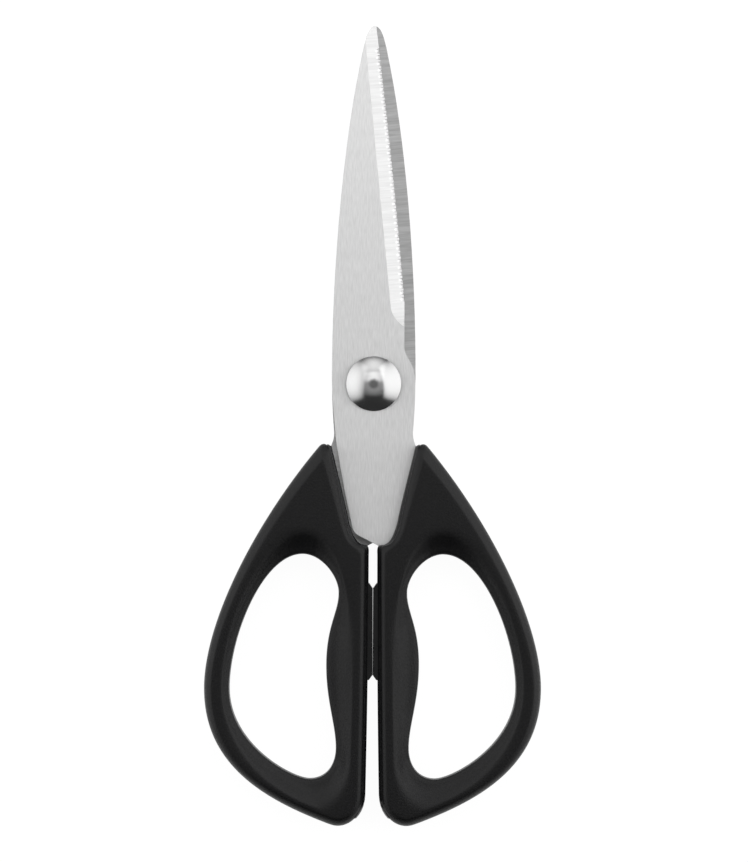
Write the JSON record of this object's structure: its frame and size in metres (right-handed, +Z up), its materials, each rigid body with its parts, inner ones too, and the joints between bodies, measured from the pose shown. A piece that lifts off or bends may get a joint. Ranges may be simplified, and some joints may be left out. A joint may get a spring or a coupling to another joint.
{
  "type": "poultry shears",
  "caption": "Closed poultry shears: serrated front blade over a plain rear blade on a domed pivot bolt, with dished black finger loops.",
  "frame": {"origin": "on the pivot axis, at the flat back of the pivot nut, which lies on the same surface as the backs of the handles", "axes": "+X to the right handle, +Y along the closed blades to their tips, +Z up out of the front face, along the pivot axis"},
  "size_m": [0.0906, 0.2151, 0.0124],
  "materials": {
    "blade_steel": "stainless steel, brushed along the blade, bevels ground across",
    "bolt_steel": "stainless steel, turned and polished",
    "washer_steel": "spring steel, plain",
    "core_plastic": "black polypropylene, satin from the mould",
    "grip_skin": "black thermoplastic elastomer, fine matt texture"
  },
  "bodies": {
    "rear_half": {"rear_blade": "blade_steel", "left_core": "core_plastic", "left_grip": "grip_skin", "pivot_bolt": "bolt_steel", "spring_washer": "washer_steel", "pivot_nut": "bolt_steel"},
    "front_half": {"front_blade": "blade_steel", "right_core": "core_plastic", "right_grip": "grip_skin"}
  },
  "joints": [
    {"name": "pivot", "type": "hinge", "parent": "rear_half", "child": "front_half", "pos_m": [0, 0, 0.006], "axis": [0, 0, 1], "range_deg": [0, 105]}
  ]
}
